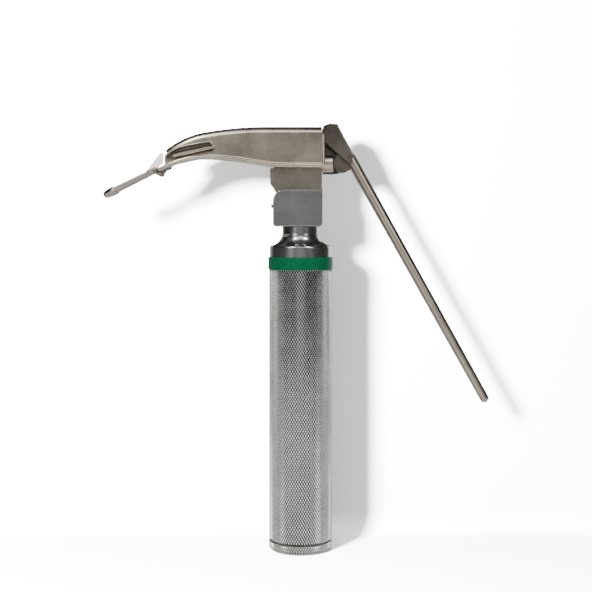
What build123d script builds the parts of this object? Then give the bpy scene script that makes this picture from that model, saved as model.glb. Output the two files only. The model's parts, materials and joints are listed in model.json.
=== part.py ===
from build123d import *
import os

# Levering-tip laryngoscope, in millimetres. The handle stands on its base cap with its axis on +Z.
# The blade points along -X, its squeeze lever lies on +X, and the origin is the middle of the base.

# ---------------------------------------------------------------- handle
GRIP_R = 14.25
GRIP_BORE_R = 13.25
GRIP_Z0 = 4.6
GRIP_Z1 = 126.4
RING_R = 14.65
RING_Z1 = 132.2
SPIGOT_R = 13.15
SPIGOT_Z0 = 118.0
COLLAR_R = 14.0
NECK_R = 8.2
COLLAR_Z1 = 137.3
NECK_Z0 = 142.6

# ---------------------------------------------------------------- hook-on fitting
FORK_X0 = -12.4
FORK_X1 = 9.9
FORK_Z0 = 145.9
FORK_Z1 = 162.5
FORK_HALF_Y = 9.2
SLOT_HALF_Y = 6.4
SLOT_FLOOR_Z = 149.9
PIN_X = -9.5
PIN_Z = 156.3
PIN_R = 1.6
HOOK_CLEAR = 0.06
HOOK_ANGLE = 155

# ---------------------------------------------------------------- batteries, lamp and cap
LAMP_X = -1.0
LAMP_BORE_R = 4.0
CELL_R = 12.95
CELL_Z0 = 14.5
CELL_LENGTH = 50.0
CELL_NUB = 1.5
CAP_R = 14.0
CAP_CHAMFER = 0.8
CAP_SPIGOT_Z1 = 12.0
SEAL_HEIGHT = 0.5

# ---------------------------------------------------------------- blade
HEEL_X0 = -13.65
HEEL_X1 = 9.65
HEEL_Z0 = 150.3
HEEL_Z1 = 172.3
HEEL_HALF_Y = 6.3
HEEL_NOSE_R = 3.8
SHEET = 1.3
EDGE_ROLL_R = 0.95
SPATULA_Y0 = -12.1
WEB_Y0 = -4.4
WEB_Y1 = -3.1
WEB_FRONT_X = -61.3
WEB_REAR_X = 10.6
FLANGE_REAR_X = 9.8
TOP_Z = 191.2
FLANGE_Y1 = 4.0
BEND_R = 3.6
COVE_R = 1.4
WINDOW_RIM = 0.55
TUBE_R = 1.2
TUBE_Y = -1.85

# ---------------------------------------------------------------- tip
TIP_HINGE_X = -62.45
TIP_HINGE_Z = 169.2
KNUCKLE_R = 1.0
TIP_PIN_R = 0.5
TIP_Y1 = -2.0
TIP_ROOT = (-64.0, 171.55)
TIP_NOSE_X = -86.6
TIP_NOSE_Z = 160.3
TIP_SIDE_R = 1.15
TIP_BEAD_R = 1.7
LINK_X = -60.15
LINK_Z = 173.2
LINK_R = 0.7
LINK_RISE = 0.61

# ---------------------------------------------------------------- lever drive
DRUM_Y = 1.9
DRUM_Z = 174.5
DRUM_R = 3.8
DRUM_X0 = 4.0
DRUM_X1 = 15.0
HOUSING_R = 4.5
SPRING_Y = 3.6
HOUSING_X0 = -6.0
ROD_Y = 0.9
ROD_Z = 174.3
ROD_R = 0.9
ROD_END = (-58.6, 174.3)
PIVOT_X = 13.2
PIVOT_Z = 187.6
PIVOT_R = 1.5
NEAR_CHEEK_Y = -2.95
FAR_CHEEK_Y = 6.6
CHEEK = 0.8
NOSE_X = 19.1
NOSE_Z = 174.4
NOSE_R = 4.0
BAR_TOP = (22.5, 177.8)
BAR_END = (83.9, 67.7)
BAR_Y = 2.2

# ---------------------------------------------------------------- detent
BALL_X = 5.0
BALL_Z = 158.0
BALL_R = 1.2
BALL_Y = 5.5
BALL_BORE_R = 1.28

RUNNING = 0.05


# ---------------------------------------------------------------- shape helpers
def rod_z(radius, z0, z1, x=0.0, y=0.0):
    """A round bar from z0 to z1."""
    return Pos(x, y, z0) * Cylinder(radius, z1 - z0, align=(Align.CENTER, Align.CENTER, Align.MIN))


def rod_y(radius, x, z, y0, y1):
    """A round bar across the object, from y0 to y1."""
    return Pos(x, y1, z) * Rot(90, 0, 0) * Cylinder(radius, y1 - y0, align=(Align.CENTER, Align.CENTER, Align.MIN))


def rod_x(radius, y, z, x0, x1):
    """A round bar along the blade, from x0 to x1."""
    return Pos(x0, y, z) * Rot(0, 90, 0) * Cylinder(radius, x1 - x0, align=(Align.CENTER, Align.CENTER, Align.MIN))


def tube_z(outer, inner, z0, z1, x=0.0, y=0.0):
    return rod_z(outer, z0, z1, x, y) - rod_z(inner, z0 - 1, z1 + 1, x, y)


def block(x0, x1, y0, y1, z0, z1):
    return Pos(x0, y0, z0) * Box(x1 - x0, y1 - y0, z1 - z0, align=(Align.MIN, Align.MIN, Align.MIN))


def plate(face, y0, y1):
    """A face drawn as (x, z), made solid from y0 to y1."""
    return Pos(0, y1, 0) * extrude(Plane.XZ * face, y1 - y0)


def polygon(*points):
    return make_face(Polyline(*points, close=True))


def rounded(x, z, x_size, z_size, radius):
    """A rectangle centred on (x, z) with rounded corners."""
    return Pos(x, z) * RectangleRounded(x_size, z_size, radius)


def along(path, section, y=0.0):
    """Sweep a section, drawn as (y, up), along a path drawn as (x, z)."""
    rail = Plane.XZ * path
    start = Plane(origin=rail @ 0, x_dir=(0, -1, 0), z_dir=rail % 0)
    return Pos(0, y, 0) * sweep(start * section, path=rail)


def turn_about_axis(profile):
    """Revolve a profile, drawn as (radius, z), about the handle's axis."""
    return revolve(Plane.XZ * profile, Axis.Z)


def coil(radius, wire, length, turns):
    """A compression spring that stands on the origin."""
    height = length - 2 * wire
    helix = Helix(pitch=height / turns, height=height, radius=radius)
    start = Plane(origin=helix @ 0, z_dir=helix % 0)
    return Pos(0, 0, wire) * sweep(start * Circle(wire), path=helix, is_frenet=True)


# ---------------------------------------------------------------- the two curves of the blade
def spatula_path():
    """Middle of the spatula sheet, from the heel to the tip hinge."""
    heel = Line((HEEL_X1, 172.95), (-4.0, 172.95))
    rise = TangentArc(heel @ 1, (-22.0, 174.65), tangent=heel % 1)
    crown = TangentArc(rise @ 1, (-42.9, 176.7), tangent=rise % 1)
    fall = TangentArc(crown @ 1, (-63.0, 170.9), tangent=crown % 1)
    return heel + rise + crown + fall


def top_path(drop=0.0):
    """Top of the web, from the heel to the front end."""
    z = TOP_Z - drop
    back = Line((FLANGE_REAR_X, z), (-14.9, z))
    shoulder = TangentArc(back @ 1, (-43.4, z - 2.5), tangent=back % 1)
    nose = TangentArc(shoulder @ 1, (WEB_FRONT_X, z - 10.8), tangent=shoulder % 1)
    return back + shoulder + nose


# ---------------------------------------------------------------- handle pieces
def grip_tube():
    return tube_z(GRIP_R, GRIP_BORE_R, GRIP_Z0, GRIP_Z1)


def colour_ring():
    ring = tube_z(RING_R, SPIGOT_R, GRIP_Z1, RING_Z1)
    return fillet(ring.edges().filter_by(GeomType.CIRCLE).group_by(SortBy.RADIUS)[-1], 0.5)


def hook_on_head():
    """Threaded spigot, collar, neck and fork, turned and milled from one bar."""
    outline = (
        Polyline((0, FORK_Z0 + 1), (0, SPIGOT_Z0), (SPIGOT_R, SPIGOT_Z0), (SPIGOT_R, RING_Z1), (COLLAR_R, RING_Z1))
        + Line((COLLAR_R, RING_Z1), (COLLAR_R, COLLAR_Z1 - 0.9))
        + TangentArc((COLLAR_R, COLLAR_Z1 - 0.9), (13.1, COLLAR_Z1), tangent=(0, 1))
        + ThreePointArc((13.1, COLLAR_Z1), (9.7, 139.4), (NECK_R, NECK_Z0))
        + Line((NECK_R, NECK_Z0), (NECK_R, FORK_Z0 + 1))
        + Line((NECK_R, FORK_Z0 + 1), (0, FORK_Z0 + 1))
    )
    head = turn_about_axis(make_face(outline))
    fork = block(FORK_X0, FORK_X1, -FORK_HALF_Y, FORK_HALF_Y, FORK_Z0, FORK_Z1)
    crosswise = fork.edges().filter_by(Axis.Y)
    top_left = crosswise.group_by(Axis.Z)[-1].sort_by(Axis.X)[0]
    fork = fillet(top_left, 5.0)
    fork = fillet(fork.edges().filter_by(Axis.Y).group_by(Axis.Z)[0], 1.6)
    fork = fillet(fork.faces().sort_by(Axis.Y)[0].edges(), 0.5)
    fork = fillet(fork.faces().sort_by(Axis.Y)[-1].edges(), 0.5)
    head += fork
    head -= block(FORK_X0 - 1, FORK_X1 + 1, -SLOT_HALF_Y, SLOT_HALF_Y, SLOT_FLOOR_Z, FORK_Z1 + 1)
    head -= rod_z(LAMP_BORE_R, SPIGOT_Z0 - 1, SLOT_FLOOR_Z + 1, LAMP_X)
    head -= rod_y(PIN_R, PIN_X, PIN_Z, -FORK_HALF_Y - 1, FORK_HALF_Y + 1)
    arm = ((BALL_X - PIN_X) ** 2 + (BALL_Z - PIN_Z) ** 2) ** 0.5
    for side in (-1, 1):
        groove = Rot(90, 0, 0) * Torus(arm, BALL_R + 0.1)
        head -= Pos(PIN_X, side * BALL_Y, PIN_Z) * groove
    return head


def hinge_pin():
    """Pressed into the fork and ground flush on both sides."""
    return rod_y(PIN_R, PIN_X, PIN_Z, -FORK_HALF_Y, FORK_HALF_Y)


def battery_cell(z0):
    """Steel can of one C cell, without its terminal cap."""
    return fillet(rod_z(CELL_R, z0, z0 + CELL_LENGTH - CELL_NUB).edges(), 0.8)


def battery_terminals():
    cells = [CELL_Z0, CELL_Z0 + CELL_LENGTH]
    return [fillet(rod_z(3.2, z + CELL_LENGTH - CELL_NUB, z + CELL_LENGTH).edges().sort_by(Axis.Z)[-1], 0.4)
            for z in cells]


def contact_disc():
    """Insulating disc that carries the contact pin under the head."""
    return rod_z(12.9, 116.4, SPIGOT_Z0) - rod_z(2.0, 116, SPIGOT_Z0 + 1, LAMP_X)


def contact_pin():
    pin = rod_z(2.0, 114.6, 122.0, LAMP_X) + rod_z(3.0, 115.4, 116.4, LAMP_X)
    return pin + rod_z(1.0, 122.0, 131.0, LAMP_X)


def contact_sleeve():
    """Insulating bush that keeps the contact pin off the metal head."""
    return tube_z(LAMP_BORE_R, 2.0, SPIGOT_Z0, 122.0, LAMP_X)


def lamp_spring():
    return Pos(LAMP_X, 0, 122.0) * coil(2.6, 0.3, 10.0, 7)


def lamp_sleeve():
    outer = rod_z(LAMP_BORE_R - RUNNING, 132.0, SLOT_FLOOR_Z, LAMP_X)
    hollow = rod_z(3.3, 133.5, SLOT_FLOOR_Z + 1, LAMP_X)
    return outer - hollow - rod_z(1.4, 131.0, 134.0, LAMP_X)


def lamp_bulb_base():
    return rod_z(2.9, 133.5, 141.0, LAMP_X)


def lamp_bulb():
    return rod_z(2.3, 141.0, 144.5, LAMP_X) + Pos(LAMP_X, 0, 144.5) * Sphere(2.3)


def lamp_window():
    return rod_z(3.3, 148.3, 149.6, LAMP_X)


def base_cap():
    cup = rod_z(CAP_R, 0, GRIP_Z0 - SEAL_HEIGHT)
    cup = chamfer(cup.edges().group_by(Axis.Z)[0], CAP_CHAMFER)
    cup += rod_z(SPIGOT_R - 0.45, GRIP_Z0 - SEAL_HEIGHT, CAP_SPIGOT_Z1)
    thread = Plane.XZ * polygon((SPIGOT_R - 0.5, 5.8), (SPIGOT_R - 0.05, 6.2), (SPIGOT_R - 0.5, 6.6))
    for turn in range(4):
        cup += Pos(0, 0, 1.5 * turn) * revolve(thread, Axis.Z)
    cup -= rod_z(11.4, 2.6, CAP_SPIGOT_Z1 + 1)
    coin_slot = block(-8, 8, -0.9, 0.9, -1, 0.9)
    return cup - coin_slot


def cap_spring():
    return Pos(0, 0, 2.6) * coil(9.0, 0.55, CELL_Z0 - 2.65, 5)


def cap_seal():
    return tube_z(GRIP_R - 0.5, SPIGOT_R - 0.4, GRIP_Z0 - SEAL_HEIGHT, GRIP_Z0)


# ---------------------------------------------------------------- blade pieces
def heel_block():
    """Hooks on the fork's pin, sits in the fork's slot and carries the blade."""
    foot = Pos((PIN_X + HEEL_X1) / 2, (HEEL_Z0 + 163) / 2) * Rectangle(HEEL_X1 - PIN_X, 163 - HEEL_Z0)
    nose = Pos(PIN_X, PIN_Z) * Circle(HEEL_NOSE_R)
    nose &= Pos(PIN_X, PIN_Z) * Rectangle(2 * (PIN_X - FORK_X0), 2 * HEEL_NOSE_R)
    lip = Pos(-12.8, 155.4) * Rectangle(1.0, 2.0)
    top = polygon((HEEL_X1, 161), (HEEL_X1, HEEL_Z1), (HEEL_X0, HEEL_Z1), (HEEL_X0, 165.2), (-11.3, 161.7),
                  (PIN_X, 161))
    hook_r = PIN_R + HOOK_CLEAR
    mouth = Rot(0, 0, HOOK_ANGLE) * Pos(6, 0) * Rectangle(12, 2 * hook_r)
    hook = Pos(PIN_X, PIN_Z) * (Circle(hook_r) + mouth)
    body = plate(foot + nose + lip + top - hook, -HEEL_HALF_Y, HEEL_HALF_Y)
    body -= rod_y(BALL_BORE_R, BALL_X, BALL_Z, -HEEL_HALF_Y - 1, HEEL_HALF_Y + 1)
    body -= rod_z(3.0, HEEL_Z0 - 1, HEEL_Z0 + 1.5, LAMP_X)
    body -= rod_z(2.0, HEEL_Z0, 168.0, LAMP_X)
    body -= rod_x(HOUSING_R, DRUM_Y, DRUM_Z, HOUSING_X0, HEEL_X1 + 1)
    for rivet in heel_rivets():
        body -= rivet
    return body


def heel_rivets():
    return [rod_z(0.8, 167.5, HEEL_Z1 + SHEET, x, -5.4) for x in (-11.0, 6.0)]


def fibre_inlet():
    """Polished end of the fibre bundle, over the lamp."""
    return rod_z(3.0, HEEL_Z0 + 0.1, HEEL_Z0 + 1.5, LAMP_X)


def fibre_bundle():
    return rod_z(2.0, HEEL_Z0 + 1.5, 168.0, LAMP_X)


def web_outline():
    """Side view of the web, from the spatula up to the bend of the flange."""
    bottom = spatula_path()
    top = top_path(drop=BEND_R - 0.2)
    rear = Line(bottom @ 0, top @ 0)
    front = Line(top @ 1, (WEB_FRONT_X, 172.0))
    return make_face(bottom + rear + top + front + Line((WEB_FRONT_X, 172.0), bottom @ 1))


def window():
    """Long opening in the web through which the light tube shines."""
    shape = polygon((-39.5, 179.7), (-38.9, 181.8), (-40.8, 184.0), (-47.0, 183.1), (-54.9, 181.4), (-58.0, 179.7),
                    (-60.6, 177.6), (-60.4, 176.6), (-57.9, 175.9), (-52.0, 177.3), (-45.5, 178.7))
    return fillet(shape.vertices(), 0.6)


def flange_section():
    """Web end, bend and top flange, as (y, up) with the top surface at 0."""
    inner = BEND_R - SHEET
    leg = -BEND_R - 2.0
    return make_face(
        Polyline((WEB_Y0, -BEND_R), (WEB_Y0, leg), (WEB_Y1, leg), (WEB_Y1, -BEND_R))
        + RadiusArc((WEB_Y1, -BEND_R), (WEB_Y0 + BEND_R, -SHEET), inner)
        + Polyline((WEB_Y0 + BEND_R, -SHEET), (FLANGE_Y1, -SHEET), (FLANGE_Y1, 0), (WEB_Y0 + BEND_R, 0))
        + RadiusArc((WEB_Y0 + BEND_R, 0), (WEB_Y0, -BEND_R), -BEND_R)
    )


def cove_section():
    """Concave corner between the web's near face and the spatula, as (y, up)."""
    floor = SHEET / 2
    return make_face(
        Polyline((WEB_Y0 - COVE_R, floor), (WEB_Y0 - COVE_R, 0), (WEB_Y0 + 0.2, 0), (WEB_Y0 + 0.2, floor + COVE_R),
                 (WEB_Y0, floor + COVE_R))
        + RadiusArc((WEB_Y0, floor + COVE_R), (WEB_Y0 - COVE_R, floor), COVE_R)
    )


def blade_body():
    """Spatula with its rolled edge, web with its light window, bend and top flange: one pressing."""
    path = spatula_path()
    width = WEB_Y1 - SPATULA_Y0
    body = along(path, Rectangle(width, SHEET), (WEB_Y1 + SPATULA_Y0) / 2)
    body += along(path, Circle(EDGE_ROLL_R), SPATULA_Y0)
    body += plate(web_outline(), WEB_Y0, WEB_Y1)
    body += along(top_path(), mirror(flange_section(), Plane.YZ))
    body += along(path, mirror(cove_section(), Plane.YZ))
    rim = plate(offset(window(), WINDOW_RIM), WEB_Y0 - 0.35, WEB_Y0)
    body += fillet(rim.faces().sort_by(Axis.Y)[0].edges(), 0.3)
    body -= plate(window(), WEB_Y0 - 1, WEB_Y1 + 1)
    body += rod_z(0.7, 173.8, TOP_Z - BEND_R, WEB_REAR_X - 0.2, WEB_Y0 + 0.55)
    body -= block(WEB_FRONT_X - 9, WEB_FRONT_X, -20, 20, 172.7, 200)
    body -= block(WEB_FRONT_X - 9, WEB_FRONT_X, WEB_Y0 - 0.5, 0, 171.6, 200)
    arm = polygon((TIP_HINGE_X - 0.6, TIP_HINGE_Z + 0.6), (TIP_HINGE_X + 0.9, TIP_HINGE_Z - 0.4),
                  (-58.0, 172.9), (-61.9, 171.4))
    knuckle = Pos(TIP_HINGE_X, TIP_HINGE_Z) * Circle(KNUCKLE_R) + arm
    body += plate(knuckle, -9.7, -6.3)
    body -= rod_y(TIP_PIN_R + 0.03, TIP_HINGE_X, TIP_HINGE_Z, -14, 0)
    for rivet in heel_rivets():
        body -= rivet
    return body


def light_tube():
    """Metal tube behind the web that carries the fibres to the window."""
    run = Line((-57.4, 178.1), (-39.6, 182.0))
    bend = TangentArc(run @ 1, (-24.0, 183.6), tangent=run % 1)
    fall = TangentArc(bend @ 1, (-8.6, 178.0), tangent=bend % 1)
    return along(run + bend + fall, Circle(TUBE_R) - Circle(TUBE_R - 0.25), TUBE_Y)


def tube_cover():
    """Shallow pan behind the window that keeps the light tube clean."""
    back = TUBE_Y + TUBE_R
    pan = plate(offset(window(), 1.0), WEB_Y1, back + 0.55)
    pan -= plate(offset(window(), 0.6), WEB_Y1 - 1, back + 0.1)
    pan -= along(top_path(), mirror(flange_section(), Plane.YZ))
    run = Line((-44.0, 181.03), (-39.6, 182.0))
    bend = TangentArc(run @ 1, (-24.0, 183.6), tangent=run % 1)
    pan -= along(run + bend, Circle(TUBE_R), TUBE_Y)
    return pan.solids().sort_by(SortBy.VOLUME)[-1]


def fibre_outlet():
    """Polished fibre face just inside the tube's blunt end."""
    run = Line((-57.1, 178.17), (-52.0, 179.29))
    return along(run, Circle(TUBE_R - 0.28), TUBE_Y)


def drum_housing():
    shell = rod_x(HOUSING_R, DRUM_Y, DRUM_Z, HOUSING_X0, HEEL_X1)
    shell -= rod_x(DRUM_R + RUNNING, DRUM_Y, DRUM_Z, HOUSING_X0 + 1.2, HEEL_X1 + 1)
    shell -= rod_x(ROD_R + RUNNING, ROD_Y, ROD_Z, HOUSING_X0 - 1, HOUSING_X0 + 2)
    return shell


def drum():
    piston = rod_x(DRUM_R, DRUM_Y, DRUM_Z, DRUM_X0, DRUM_X1)
    piston = chamfer(piston.edges().sort_by(Axis.X)[-1], 0.4)
    piston -= rod_x(1.7, SPRING_Y, DRUM_Z, DRUM_X0 - 1, DRUM_X0 + 6)
    return piston - rod_x(ROD_R, ROD_Y, ROD_Z, DRUM_X0 - 1, DRUM_X0 + 2)


def rod_path():
    """Middle of the push rod: straight through the housing, then over the hump of the spatula."""
    straight = Line((DRUM_X0 + 2, ROD_Z), (-8.0, ROD_Z))
    rise = TangentArc(straight @ 1, (-25.0, 176.6), tangent=straight % 1)
    crown = TangentArc(rise @ 1, (-43.0, 177.6), tangent=rise % 1)
    fall = TangentArc(crown @ 1, ROD_END, tangent=crown % 1)
    return straight + rise + crown + fall


def push_rod():
    """Bent rod with a flat, slotted eye for the tip's link pin."""
    rod = along(rod_path(), Circle(ROD_R), ROD_Y)
    middle = LINK_Z + LINK_RISE / 2
    eye = rounded(LINK_X, middle, 3.4, 3.4 + LINK_RISE, 1.6)
    slot = rounded(LINK_X, middle, 2 * LINK_R + 0.18, 2 * LINK_R + 0.18 + LINK_RISE, LINK_R)
    return rod + plate(eye, ROD_Y - 0.8, ROD_Y + 0.8) - plate(slot, ROD_Y - 2, ROD_Y + 2)


def rod_guides():
    """Two saddles on the far side of the web, open below, that steady the push rod sideways."""
    guides = []
    for x, low, high in ((-20.0, 174.4, 176.9), (-34.0, 176.2, 179.3)):
        saddle = block(x - 1, x + 1, WEB_Y1, ROD_Y + ROD_R + 0.8, low, high + 0.7)
        gap = ROD_R + 0.1
        guides.append(saddle - block(x - 2, x + 2, ROD_Y - gap, ROD_Y + gap, low - 1, high))
    return guides


def return_spring():
    spring = coil(1.3, 0.25, 14.7, 9)
    return Pos(HOUSING_X0 + 1.25, SPRING_Y, DRUM_Z) * Rot(0, 90, 0) * spring


def lever_bracket():
    """Lug under the flange that carries the lever's pivot."""
    foot = block(0.0, 8.5, WEB_Y1, 3.5, 184.4, TOP_Z - BEND_R)
    pad = block(0.0, 8.5, WEB_Y0 + BEND_R, 3.5, TOP_Z - BEND_R, TOP_Z - SHEET)
    lug = Pos(PIVOT_X, PIVOT_Z) * Circle(3.0) + polygon(
        (8.4, 184.6), (PIVOT_X, PIVOT_Z - 3.0), (PIVOT_X, PIVOT_Z + 1.6), (8.4, TOP_Z - SHEET))
    body = foot + pad + plate(lug, NEAR_CHEEK_Y + CHEEK + 0.15, FAR_CHEEK_Y - 0.15)
    return body - rod_y(PIVOT_R + RUNNING, PIVOT_X, PIVOT_Z, -10, 10)


# ---------------------------------------------------------------- tip pieces
def tip_shell():
    """Flat tip with rolled sides and a thicker bead round its nose."""
    run = TIP_ROOT[0] - TIP_NOSE_X
    drop = TIP_ROOT[1] - TIP_NOSE_Z
    length = (run ** 2 + drop ** 2) ** 0.5
    middle = (SPATULA_Y0 + TIP_Y1 - 0.9) / 2
    half = middle - SPATULA_Y0
    straight = length - half
    shell = Pos(straight / 2, 0, 0) * Box(straight, 2 * half, SHEET)
    shell += Pos(straight, 0, 0) * Cylinder(half, SHEET)
    bow = Torus(half, TIP_BEAD_R) & Pos(10, 0, 0) * Box(20, 40, 10)
    shell += Pos(straight, 0, 0) * bow
    for side in (-half, half):
        roll = Cone(EDGE_ROLL_R, TIP_SIDE_R, straight, align=(Align.CENTER, Align.CENTER, Align.MIN))
        shell += Pos(0, side, 0) * Rot(0, 90, 0) * roll
    tip_frame = Plane(origin=(TIP_ROOT[0], middle, TIP_ROOT[1]), x_dir=(-run, 0, -drop), z_dir=(-drop, 0, run))
    return tip_frame * shell


def tip_plate():
    """Hinged end of the spatula: shell, knuckles and link arm."""
    body = tip_shell()
    link = polygon((-65.0, 171.2), (-63.6, 169.4), (-62.0, 168.6), (LINK_X + 1.1, LINK_Z - 0.6), (LINK_X - 0.6, LINK_Z + 1.2))
    hinge_eye = Pos(TIP_HINGE_X, TIP_HINGE_Z) * Circle(KNUCKLE_R)
    arm = link + Pos(LINK_X, LINK_Z) * Circle(1.25) + hinge_eye
    body += plate(arm, WEB_Y1 + 0.2, TIP_Y1)
    root = polygon((-65.6, 171.4), (-64.2, 170.9), (-63.5, 169.9), (TIP_HINGE_X, TIP_HINGE_Z + 0.95),
                   (TIP_HINGE_X - 0.9, TIP_HINGE_Z - 0.4), (-65.2, 169.3))
    knuckle = root + hinge_eye
    for y0, y1 in ((SPATULA_Y0 - EDGE_ROLL_R, -9.9), (-6.1, WEB_Y1 + 0.2)):
        body += plate(knuckle, y0, y1)
    body -= rod_y(TIP_PIN_R, TIP_HINGE_X, TIP_HINGE_Z, -14, 0)
    return body - rod_y(LINK_R, LINK_X, LINK_Z, -4, 2) - tip_fin()


def tip_fin():
    """Bright triangular web on the hinged tip, in line with the blade's web."""
    slope = TangentArc((-72.4, 167.0), (-63.4, 178.9), tangent=(0.58, 0.815))
    outline = (
        slope
        + ThreePointArc(slope @ 1, (-62.4, 179.3), (-61.8, 178.2))
        + Polyline((-61.8, 178.2), (-61.95, 174.6), (-63.9, 172.9), (-64.3, 171.4), (-66.0, 170.3), (-72.4, 167.0))
    )
    return plate(make_face(outline), WEB_Y0, WEB_Y1 - 0.1)


def tip_hinge_pin():
    return rod_y(TIP_PIN_R, TIP_HINGE_X, TIP_HINGE_Z, SPATULA_Y0 - EDGE_ROLL_R, TIP_Y1)


def tip_link_pin():
    return rod_y(LINK_R, LINK_X, LINK_Z, WEB_Y1 + 0.2, ROD_Y + 1.2)


# ---------------------------------------------------------------- lever pieces
def bar_plane(distance):
    """Plane across the lever bar, a distance down from its top."""
    length = ((BAR_END[0] - BAR_TOP[0]) ** 2 + (BAR_END[1] - BAR_TOP[1]) ** 2) ** 0.5
    step = ((BAR_END[0] - BAR_TOP[0]) / length, (BAR_END[1] - BAR_TOP[1]) / length)
    if distance is None:
        distance = length
    point = (BAR_TOP[0] + step[0] * distance, BAR_Y, BAR_TOP[1] + step[1] * distance)
    return Plane(origin=point, x_dir=(-step[1], 0, step[0]), z_dir=(step[0], 0, step[1]))


def lever_bar():
    """Tapering bar under the fingers, with a domed end."""
    sections = [bar_plane(0) * Ellipse(2.6, 3.2), bar_plane(None) * Ellipse(2.1, 2.6)]
    dome = bar_plane(None) * scale(Sphere(1.0), (2.1, 2.6, 2.1))
    return loft(sections) + dome


def lever_yoke():
    """Folded sheet that straddles the bracket: near cheek, far cheek and the fold between them."""
    crown = ((10.15, 191.1), (11.3, 192.0), (13.3, 192.5), (16.7, 192.4), (17.1, 191.9))
    near = polygon((10.15, 184.5), *crown, (24.0, 178.7), (22.8, 173.5))
    far = polygon((10.2, 169.9), *crown, (24.0, 178.7), (23.2, 172.1), (18.9, 170.6), (15.2, 169.9))
    fold = polygon((17.1, 191.9), (24.0, 178.7), (23.1, 178.3), (16.2, 191.5))
    yoke = plate(near, NEAR_CHEEK_Y, NEAR_CHEEK_Y + CHEEK)
    yoke += plate(far, FAR_CHEEK_Y, FAR_CHEEK_Y + CHEEK)
    yoke += plate(fold, NEAR_CHEEK_Y, FAR_CHEEK_Y + CHEEK)
    outer = Vector(20.55, NEAR_CHEEK_Y, 185.3)
    lower = Vector(16.5, NEAR_CHEEK_Y, 179.0)
    yoke = fillet(yoke.edges().sort_by_distance(outer)[0], 0.75)
    yoke = chamfer(yoke.edges().sort_by_distance(lower)[0], 0.3)
    yoke -= lever_bar()
    return yoke - rod_y(PIVOT_R, PIVOT_X, PIVOT_Z, -10, 10)


def lever_heel():
    """Rounded nose inside the yoke that presses the drum."""
    stem = polygon((16.0, 177.0), (19.0, 184.0), (19.85, 184.2), (22.85, 178.4), (22.8, 175.0))
    face = stem + Pos(NOSE_X, NOSE_Z) * Circle(NOSE_R)
    return plate(face, 0.0, 4.0) - lever_bar()


def lever_pivot_pin():
    y0 = NEAR_CHEEK_Y
    y1 = FAR_CHEEK_Y + CHEEK
    return rod_y(PIVOT_R, PIVOT_X, PIVOT_Z, y0, y1)


# ---------------------------------------------------------------- detent pieces
def detent_ball(side):
    return Pos(BALL_X, side * BALL_Y, BALL_Z) * Sphere(BALL_R)


def detent_spring():
    length = 2 * (BALL_Y - BALL_R) - 0.9
    return Pos(BALL_X, length / 2, BALL_Z) * Rot(90, 0, 0) * coil(0.85, 0.2, length, 7)


PARTS = {
    "grip_tube": grip_tube,
    "colour_ring": colour_ring,
    "hook_on_head": hook_on_head,
    "hinge_pin": hinge_pin,
    "battery_lower": lambda: battery_cell(CELL_Z0),
    "battery_upper": lambda: battery_cell(CELL_Z0 + CELL_LENGTH),
    "battery_terminals": battery_terminals,
    "contact_disc": contact_disc,
    "contact_pin": contact_pin,
    "contact_sleeve": contact_sleeve,
    "lamp_spring": lamp_spring,
    "lamp_sleeve": lamp_sleeve,
    "lamp_bulb_base": lamp_bulb_base,
    "lamp_bulb": lamp_bulb,
    "lamp_window": lamp_window,
    "base_cap": base_cap,
    "cap_spring": cap_spring,
    "cap_seal": cap_seal,
    "heel_block": heel_block,
    "heel_rivets": heel_rivets,
    "fibre_inlet": fibre_inlet,
    "fibre_bundle": fibre_bundle,
    "blade_body": blade_body,
    "light_tube": light_tube,
    "fibre_outlet": fibre_outlet,
    "tube_cover": tube_cover,
    "drum_housing": drum_housing,
    "drum": drum,
    "push_rod": push_rod,
    "rod_guides": rod_guides,
    "return_spring": return_spring,
    "lever_bracket": lever_bracket,
    "lever_pivot_pin": lever_pivot_pin,
    "lever_yoke": lever_yoke,
    "lever_bar": lever_bar,
    "lever_heel": lever_heel,
    "detent_ball_near": lambda: detent_ball(-1),
    "detent_ball_far": lambda: detent_ball(1),
    "detent_spring": detent_spring,
    "tip_plate": tip_plate,
    "tip_fin": tip_fin,
    "tip_hinge_pin": tip_hinge_pin,
    "tip_link_pin": tip_link_pin,
}

os.makedirs("parts", exist_ok=True)
for name, make in PARTS.items():
    shape = make()
    if isinstance(shape, list):
        shape = Compound(children=[solid for piece in shape for solid in piece.solids()])
    export_step(shape, f"parts/{name}.step")
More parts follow.
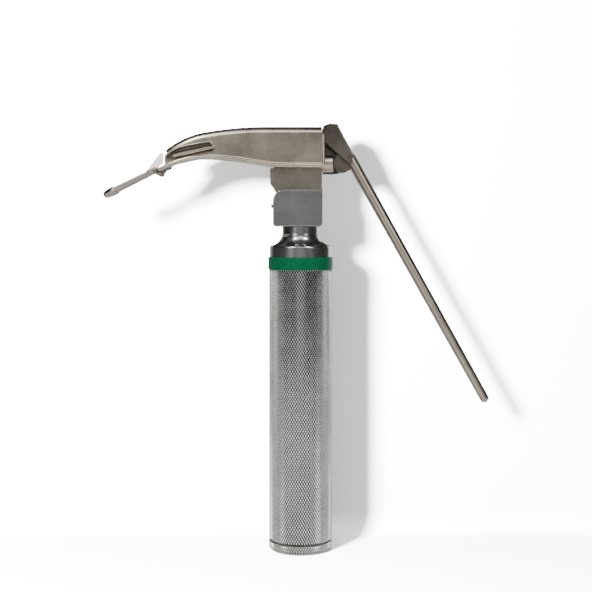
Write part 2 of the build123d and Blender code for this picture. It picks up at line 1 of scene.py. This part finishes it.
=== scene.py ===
import bpy
import json
import math
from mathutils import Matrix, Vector


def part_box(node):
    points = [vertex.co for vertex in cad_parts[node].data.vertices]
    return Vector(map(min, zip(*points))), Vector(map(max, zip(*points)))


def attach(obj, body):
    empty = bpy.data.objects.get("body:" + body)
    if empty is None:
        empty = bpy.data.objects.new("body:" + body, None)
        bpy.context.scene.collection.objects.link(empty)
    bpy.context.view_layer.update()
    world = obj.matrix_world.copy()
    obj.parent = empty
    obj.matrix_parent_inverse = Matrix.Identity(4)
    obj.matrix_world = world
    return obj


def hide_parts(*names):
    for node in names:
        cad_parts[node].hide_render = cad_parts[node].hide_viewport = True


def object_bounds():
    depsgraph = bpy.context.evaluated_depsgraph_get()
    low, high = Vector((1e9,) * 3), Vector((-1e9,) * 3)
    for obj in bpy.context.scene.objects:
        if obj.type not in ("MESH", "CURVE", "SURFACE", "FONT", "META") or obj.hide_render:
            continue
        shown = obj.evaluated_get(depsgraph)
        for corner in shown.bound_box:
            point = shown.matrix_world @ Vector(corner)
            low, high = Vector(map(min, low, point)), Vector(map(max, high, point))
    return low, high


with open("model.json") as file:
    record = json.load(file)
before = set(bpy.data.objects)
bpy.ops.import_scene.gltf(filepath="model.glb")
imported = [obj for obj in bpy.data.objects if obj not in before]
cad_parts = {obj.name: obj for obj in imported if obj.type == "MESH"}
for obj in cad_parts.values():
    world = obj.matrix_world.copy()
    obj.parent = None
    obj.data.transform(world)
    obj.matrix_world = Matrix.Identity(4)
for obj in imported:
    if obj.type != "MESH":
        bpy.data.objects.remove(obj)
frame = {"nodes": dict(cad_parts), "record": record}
CAD_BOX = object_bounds()
NODES = frame["nodes"]
MM = 0.001
GRIP_LOW, GRIP_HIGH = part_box("grip_tube")
GRIP_RADIUS = GRIP_HIGH.x
METAL_HAZE = 0.03
SOLID_HAZE = 0.05


# ---------------------------------------------------------------- material helpers
def add_node(tree, kind, x, y, **values):
    """A node at (x, y) of the tree, with its properties or unlinked inputs set."""
    node = tree.nodes.new(kind)
    node.location = (x, y)
    for name, value in values.items():
        if hasattr(node, name):
            setattr(node, name, value)
        else:
            node.inputs[name.replace("_", " ")].default_value = value
    return node


def new_material(name):
    """An empty material with its surface shader: (material, tree, shader)."""
    made = bpy.data.materials.new(name)
    made.use_nodes = True
    tree = made.node_tree
    return made, tree, tree.nodes["Principled BSDF"]


def noise(tree, x, y, stretch, scale, detail):
    """Noise in the object's own millimetres, stretched along an axis; gives the node."""
    place = add_node(tree, "ShaderNodeTexCoord", x - 400, y)
    mapping = add_node(tree, "ShaderNodeMapping", x - 200, y)
    mapping.inputs["Scale"].default_value = [s / MM for s in stretch]
    tree.links.new(place.outputs["Object"], mapping.inputs["Vector"])
    made = add_node(tree, "ShaderNodeTexNoise", x, y, Scale=scale, Detail=detail, Roughness=0.6)
    tree.links.new(mapping.outputs["Vector"], made.inputs["Vector"])
    return made


def spread(tree, source, x, y, low, high):
    """Map a noise's middle range to low..high."""
    made = add_node(tree, "ShaderNodeMapRange", x, y)
    made.inputs["From Min"].default_value = 0.3
    made.inputs["From Max"].default_value = 0.7
    made.inputs["To Min"].default_value = low
    made.inputs["To Max"].default_value = high
    tree.links.new(source, made.inputs["Value"])
    return made.outputs["Result"]


def two_tones(tree, shader, factor, dark, light):
    """Drive a shader's colour from dark to light by a factor."""
    ramp = add_node(tree, "ShaderNodeMix", 0, 300, data_type="RGBA")
    ramp.inputs["A"].default_value = (*dark, 1)
    ramp.inputs["B"].default_value = (*light, 1)
    tree.links.new(factor, ramp.inputs["Factor"])
    tree.links.new(ramp.outputs["Result"], shader.inputs["Base Color"])


def surface_bump(tree, shader, source, strength, depth):
    """Raise a shader's surface by a noise, depth millimetres high."""
    bump = add_node(tree, "ShaderNodeBump", 0, -200, Strength=strength, Distance=depth * MM)
    tree.links.new(source.outputs["Fac"], bump.inputs["Height"])
    tree.links.new(bump.outputs["Normal"], shader.inputs["Normal"])


def metal(name, dark, light, rough, grain=(1, 1, 1), depth=0.02):
    """Worn satin metal: tone varies from dark to light, with a fine grain and smudges."""
    made, tree, shader = new_material(name)
    shader.inputs["Metallic"].default_value = 1.0
    cloud = noise(tree, -500, 300, (1, 1, 1), 0.07, 3)
    lines = noise(tree, -500, -100, grain, 3.0, 5)
    two_tones(tree, shader, spread(tree, cloud.outputs["Fac"], -250, 300, 0.0, 1.0), dark, light)
    smudges = spread(tree, cloud.outputs["Fac"], -250, 100, rough - METAL_HAZE, rough + METAL_HAZE)
    scratches = spread(tree, lines.outputs["Fac"], -250, -60, -METAL_HAZE / 2, METAL_HAZE / 2)
    both = add_node(tree, "ShaderNodeMath", -50, 50, operation="ADD")
    tree.links.new(smudges, both.inputs[0])
    tree.links.new(scratches, both.inputs[1])
    tree.links.new(both.outputs["Value"], shader.inputs["Roughness"])
    surface_bump(tree, shader, lines, 0.35, depth)
    return made


def paint_groove_shade(made, low, high, floor):
    """Paint shade into the grooves of a round metal: its colour darkens below the outside radius, from high
    down to low.
    """
    tree = made.node_tree
    shader = tree.nodes["Principled BSDF"]
    tone = shader.inputs["Base Color"].links[0].from_socket
    place = add_node(tree, "ShaderNodeTexCoord", -700, 600)
    flat = add_node(tree, "ShaderNodeVectorMath", -550, 600, operation="MULTIPLY")
    flat.inputs[1].default_value = (1, 1, 0)
    size = add_node(tree, "ShaderNodeVectorMath", -400, 600, operation="LENGTH")
    share = add_node(tree, "ShaderNodeMapRange", -200, 600)
    share.inputs["From Min"].default_value = low
    share.inputs["From Max"].default_value = high
    share.inputs["To Min"].default_value = floor
    share.inputs["To Max"].default_value = 1.0
    tree.links.new(place.outputs["Object"], flat.inputs[0])
    tree.links.new(flat.outputs["Vector"], size.inputs[0])
    tree.links.new(size.outputs["Value"], share.inputs["Value"])
    # painted shade: the tone is scaled down the deeper a point lies below the outside radius
    shade = add_node(tree, "ShaderNodeVectorMath", 150, 500, operation="SCALE")
    tree.links.new(tone, shade.inputs[0])
    tree.links.new(share.outputs["Result"], shade.inputs["Scale"])
    tree.links.new(shade.outputs["Vector"], shader.inputs["Base Color"])


def solid(name, dark, light, rough, depth=0.02, scale=0.4, specular=0.5):
    """Plastic, rubber, glass fibre or lacquer, with slight mottling and a fine surface."""
    made, tree, shader = new_material(name)
    shader.inputs["Specular IOR Level"].default_value = specular
    cloud = noise(tree, -500, 200, (1, 1, 1), scale, 4)
    fine = noise(tree, -500, -200, (1, 1, 1), 6.0, 3)
    two_tones(tree, shader, spread(tree, cloud.outputs["Fac"], -250, 200, 0.0, 1.0), dark, light)
    smudges = spread(tree, cloud.outputs["Fac"], -250, 0, rough - SOLID_HAZE, rough + SOLID_HAZE)
    tree.links.new(smudges, shader.inputs["Roughness"])
    surface_bump(tree, shader, fine, 0.3, depth)
    return made


ALONG_X = (0.06, 1, 1)
AROUND_Z = (0.3, 0.3, 1.2)
# Metals: dark and light tone, roughness, stretch of the grain, depth of the grain in millimetres.
METALS = {
    "grip_chrome": ((0.35, 0.35, 0.34), (0.43, 0.43, 0.42), 0.20, AROUND_Z, 0.01),
    "cap_chrome": ((0.27, 0.27, 0.262), (0.34, 0.34, 0.33), 0.20, AROUND_Z, 0.01),
    "head_chrome": ((0.15, 0.145, 0.138), (0.20, 0.194, 0.187), 0.24, AROUND_Z, 0.012),
    "pin_steel": ((0.30, 0.28, 0.26), (0.38, 0.36, 0.34), 0.22),
    "spring_steel": ((0.35, 0.35, 0.35), (0.45, 0.45, 0.45), 0.25),
    "contact_brass": ((0.60, 0.42, 0.18), (0.72, 0.54, 0.26), 0.25),
    "heel_steel": ((0.125, 0.104, 0.086), (0.20, 0.172, 0.148), 0.33, ALONG_X, 0.02),
    "blade_steel": ((0.19, 0.166, 0.134), (0.30, 0.264, 0.218), 0.28, ALONG_X, 0.015),
    "tip_steel": ((0.17, 0.145, 0.12), (0.22, 0.19, 0.163), 0.25, ALONG_X, 0.02),
    "tube_steel": ((0.27, 0.24, 0.20), (0.35, 0.315, 0.27), 0.30, ALONG_X, 0.01),
    "yoke_steel": ((0.055, 0.048, 0.04), (0.12, 0.106, 0.09), 0.26, ALONG_X, 0.02),
    "lever_steel": ((0.17, 0.146, 0.12), (0.23, 0.20, 0.168), 0.30, (0.1, 1, 0.1), 0.02),
    "drum_steel": ((0.22, 0.19, 0.148), (0.28, 0.245, 0.195), 0.30, (1, 1, 1), 0.01),
    "fin_steel": ((0.90, 0.88, 0.78), (0.98, 0.96, 0.88), 0.45, ALONG_X, 0.01),
}
# Other materials: dark and light tone, roughness, surface depth in millimetres, mottling scale.
SOLIDS = {
    "battery_jacket": ((0.03, 0.03, 0.035), (0.06, 0.06, 0.065), 0.35),
    "insulator": ((0.75, 0.72, 0.65), (0.85, 0.82, 0.76), 0.5),
    "seal_rubber": ((0.008, 0.008, 0.008), (0.02, 0.02, 0.02), 0.6),
    "fibre_glass": ((0.75, 0.72, 0.60), (0.92, 0.90, 0.80), 0.15, 0.004, 4.0),
    "lamp_glass": ((0.75, 0.76, 0.75), (0.88, 0.89, 0.88), 0.08, 0.002, 4.0),
}
MATERIALS = {name: metal(name, *row) for name, row in METALS.items()}
MATERIALS.update({name: solid(name, *row) for name, row in SOLIDS.items()})
MATERIALS["ring_green"] = solid("ring_green", (0.0, 0.046, 0.017), (0.0, 0.060, 0.023), 0.5, specular=0.06)
MATERIALS["lamp_glass"].node_tree.nodes["Principled BSDF"].inputs["Transmission Weight"].default_value = 0.8
# Painted shade: the grip's colour darkens towards the bottom of the knurl's grooves, down to 0.06 of its
# tone.
paint_groove_shade(MATERIALS["grip_chrome"], GRIP_RADIUS - 0.22 * MM, GRIP_RADIUS - 0.02 * MM, 0.06)

for part in frame["record"]["subparts"]:
    for place in NODES[part["node"]].material_slots:
        place.material = MATERIALS[part["material_slot"]]


# ---------------------------------------------------------------- mesh helpers
TEETH = 76
ROUND = 2 * TEETH
LAND = 0.62  # share of a diamond that its flat top takes
GRIP_ROWS = 120
GRIP_GROOVE = 0.28 * MM
GRIP_WALL = 1.0 * MM
BAND_ROWS = 3
BAND_GROOVE = 0.25 * MM
BAND_FROM = 1.0 * MM
BAND_TO = 4.0 * MM


def make_piece(name, points, faces, body, slot):
    """A mesh piece from points in metres, riding on a body with a slot's material."""
    mesh = bpy.data.meshes.new(name)
    mesh.from_pydata(points, [], faces)
    mesh.validate()
    mesh.materials.append(MATERIALS[slot])
    piece = bpy.data.objects.new(name, mesh)
    bpy.context.scene.collection.objects.link(piece)
    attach(piece, body)
    return piece


def ring_points(radius, z, count):
    """Points evenly spaced round the handle's axis."""
    turns = [2 * math.pi * k / count for k in range(count)]
    return [(radius * math.cos(turn), radius * math.sin(turn), z) for turn in turns]


def ring_faces(first, second, count):
    """Quads between two rings of points, named by the index of their first point."""
    return [(first + k, first + (k + 1) % count, second + (k + 1) % count, second + k) for k in range(count)]


def knurl(radius, depth, z0, z1, rows):
    """Diamond knurl on a cylinder: a flat-topped diamond between crossing grooves.

    Gives (points, faces). The first points are the grooves' crossings, row by row, ROUND to a row.
    """
    count = ROUND
    step = (z1 - z0) / rows
    pitch = 2 * math.pi / count
    points = []
    for b in range(rows + 1):
        edge = b in (0, rows)
        for a in range(count):
            r = radius if edge and (a + b) % 2 == 0 else radius - depth
            points.append((r * math.cos(a * pitch), r * math.sin(a * pitch), z0 + b * step))
    faces = []
    for b in range(rows + 1):
        for a in range(b % 2, count, 2):
            left = b * count + (a - 1) % count
            right = b * count + (a + 1) % count
            top = b * count + a
            if b == 0:
                faces += [(top, right, count + a), (top, count + a, left)]
                continue
            if b == rows:
                faces += [(top, left, top - count), (top, top - count, right)]
                continue
            above, below = top + count, top - count
            first = len(points)
            for da, db in ((1, 0), (0, 1), (-1, 0), (0, -1)):
                turn = (a + da * LAND) * pitch
                z = z0 + (b + db * LAND) * step
                points.append((radius * math.cos(turn), radius * math.sin(turn), z))
            faces.append((first, first + 1, first + 2, first + 3))
            ends = (right, above, left, below)
            for k in range(4):
                n = (k + 1) % 4
                faces.append((ends[k], ends[n], first + n, first + k))
    return points, faces


# ---------------------------------------------------------------- knurled grip and cap
def knurled_tube(name, radius, bore, depth, heights, bore_z0, rows, body, slot):
    """Knurled tube between two heights; its bore starts at bore_z0. Gives the piece."""
    z0, z1 = heights
    points, faces = knurl(radius, depth, z0, z1, rows)
    top_rim = rows * ROUND
    inner = len(points)
    points += ring_points(bore, bore_z0, ROUND) + ring_points(bore, z1, ROUND)
    faces += ring_faces(inner + ROUND, inner, ROUND)
    faces += ring_faces(inner, 0, ROUND)
    faces += ring_faces(top_rim, inner + ROUND, ROUND)
    return make_piece(name, points, faces, body, slot)


def knurled_grip():
    """Grip tube with its diamond knurl and its bore, in place of the plain tube."""
    heights = (GRIP_LOW.z, GRIP_HIGH.z)
    bore = GRIP_RADIUS - GRIP_WALL
    piece = knurled_tube("knurled_grip", GRIP_RADIUS, bore, GRIP_GROOVE, heights, GRIP_LOW.z, GRIP_ROWS,
                         "handle", "grip_chrome")
    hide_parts("grip_tube")


def knurled_band():
    """Knurled band round the base cap, sunk a little into it."""
    low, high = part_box("base_cap")
    heights = (low.z + BAND_FROM, low.z + BAND_TO)
    knurled_tube("cap_knurl", GRIP_RADIUS, high.x - 0.3 * MM, BAND_GROOVE, heights, heights[0] - 0.2 * MM,
                 BAND_ROWS, "cap", "cap_chrome")


knurled_grip()
knurled_band()


# ---------------------------------------------------------------- floor, backdrop, light and camera
def paper_sheet(name, half_width, side_view, material):
    """A sheet of paper that follows (y, z) points, front face up and forward."""
    points = [(x, y, z) for y, z in side_view for x in (-half_width, half_width)]
    faces = [(2 * k, 2 * k + 1, 2 * k + 3, 2 * k + 2) for k in range(len(side_view) - 1)]
    mesh = bpy.data.meshes.new(name)
    mesh.from_pydata(points, [], faces)
    mesh.polygons.foreach_set("use_smooth", [True] * len(faces))
    mesh.materials.append(material)
    made = bpy.data.objects.new(name, mesh)
    bpy.context.scene.collection.objects.link(made)
    return made


def paper(name, one_sided, glow):
    """White paper; a one-sided sheet can't be seen from behind."""
    made, tree, shader = new_material(name)
    fibres = noise(tree, -500, 200, (1, 1, 1), 0.05, 4)
    two_tones(tree, shader, fibres.outputs["Fac"], (0.90, 0.90, 0.90), (0.93, 0.93, 0.93))
    shader.inputs["Roughness"].default_value = 0.9
    shader.inputs["Emission Color"].default_value = (1, 1, 1, 1)
    shader.inputs["Emission Strength"].default_value = glow
    if one_sided:
        back = add_node(tree, "ShaderNodeNewGeometry", 200, 200)
        clear = add_node(tree, "ShaderNodeBsdfTransparent", 200, 0)
        either = add_node(tree, "ShaderNodeMixShader", 400, 100)
        tree.links.new(back.outputs["Backfacing"], either.inputs["Fac"])
        tree.links.new(shader.outputs["BSDF"], either.inputs[1])
        tree.links.new(clear.outputs["BSDF"], either.inputs[2])
        output = tree.nodes["Material Output"]
        tree.links.new(either.outputs["Shader"], output.inputs["Surface"])
    return made


def area_light(name, place, target, size, watts):
    """Round soft box at a place, facing a target."""
    data = bpy.data.lights.new(name, "AREA")
    data.shape = "DISK"
    data.size = size
    data.energy = watts
    lamp = bpy.data.objects.new(name, data)
    lamp.location = place
    lamp.rotation_euler = (target - place).to_track_quat("-Z", "Y").to_euler()
    bpy.context.scene.collection.objects.link(lamp)
    return lamp


STAGE_SPAN = 1.5
WALL_BEND = 11 * MM
WALL_GAP = 12 * MM
# Soft boxes: name, degrees right of the front, degrees up, distance and size in metres, watts.
LAMPS = (
    ("paper_key", -35, 20, 0.66, 0.15, 110.0),
    ("paper_top", 0, 86, 0.80, 0.50, 16.0),
    ("key", -36, 20, 0.66, 0.26, 2.4),
    ("fill", 36, 20, 0.70, 0.26, 1.4),
    ("high_left", -38, 55, 0.60, 0.10, 3.2),
    ("high_right", 38, 55, 0.60, 0.10, 3.2),
    ("high_middle", 0, 50, 0.70, 0.30, 1.4),
    ("front", 0, 8, 0.90, 0.60, 0.7),
    ("rim_left", -145, 10, 0.70, 0.45, 0.40),
    ("rim_right", 145, 10, 0.70, 0.45, 1.6),
)


def bent_paper(wall_y, floor_z):
    """Side view of a sheet that runs along the floor and bends up into a wall, as (y, z)."""
    bend_y = wall_y - WALL_BEND
    sheet = [(-STAGE_SPAN, floor_z), (bend_y, floor_z)]
    for degrees in range(10, 100, 10):
        turn = math.radians(degrees)
        sheet.append((bend_y + WALL_BEND * math.sin(turn), floor_z + WALL_BEND * (1 - math.cos(turn))))
    return sheet + [(wall_y, STAGE_SPAN)]


def build_stage():
    """Floor and white paper, soft boxes and a dim surrounding."""
    wall_y = GRIP_HIGH.y + WALL_GAP
    floor_z = CAD_BOX[0].z
    below = floor_z - 0.3 * MM
    floor = [(-STAGE_SPAN, below), (STAGE_SPAN, below)]
    paper_sheet("floor", STAGE_SPAN, floor, paper("floor_paper", False, 0.35))

    # The white paper is seen, but neither reflects in the object nor shades it.
    sweep = bent_paper(wall_y, floor_z)
    behind_z = floor_z - 0.1 * MM
    behind = [(wall_y - WALL_BEND, behind_z), (STAGE_SPAN, behind_z)]
    white = paper("backdrop_paper", True, 0.05)
    lit = bpy.data.collections.new("lit_by_paper_lamps")
    unlit = bpy.data.collections.new("not_lit_by_object_lamps")
    for name, side_view in (("backdrop", sweep), ("floor_behind", behind)):
        sheet = paper_sheet(name, STAGE_SPAN, side_view, white)
        sheet.visible_glossy = False
        sheet.visible_diffuse = False
        sheet.visible_transmission = False
        sheet.visible_shadow = False
        lit.objects.link(sheet)
        unlit.objects.link(sheet)
    for receiver in unlit.collection_objects:
        receiver.light_linking.link_state = "EXCLUDE"

    middle = (CAD_BOX[0] + CAD_BOX[1]) / 2
    for name, azimuth, height, distance, size, watts in LAMPS:
        turn, tilt = math.radians(azimuth), math.radians(height)
        level = distance * math.cos(tilt)
        away = Vector((level * math.sin(turn), -level * math.cos(turn), distance * math.sin(tilt)))
        lamp = area_light(name, middle + away, middle, size, watts)
        lamp.light_linking.receiver_collection = lit if name.startswith("paper") else unlit

    world = bpy.data.worlds.new("studio")
    world.use_nodes = True
    sky = world.node_tree.nodes["Background"]
    sky.inputs["Color"].default_value = (1, 1, 1, 1)
    sky.inputs["Strength"].default_value = 0.07
    bpy.context.scene.world = world


def build_camera():
    """Level camera half a metre in front of the handle, a little above its middle."""
    data = bpy.data.cameras.new("camera")
    data.sensor_width = 36.0
    data.lens = 68.5
    data.shift_y = -0.115
    camera = bpy.data.objects.new("camera", data)
    camera.location = (-2.0 * MM, -512 * MM, CAD_BOX[0].z + 145.3 * MM)
    camera.rotation_euler = (math.radians(90), 0, 0)
    bpy.context.scene.collection.objects.link(camera)
    bpy.context.scene.camera = camera


build_stage()
build_camera()
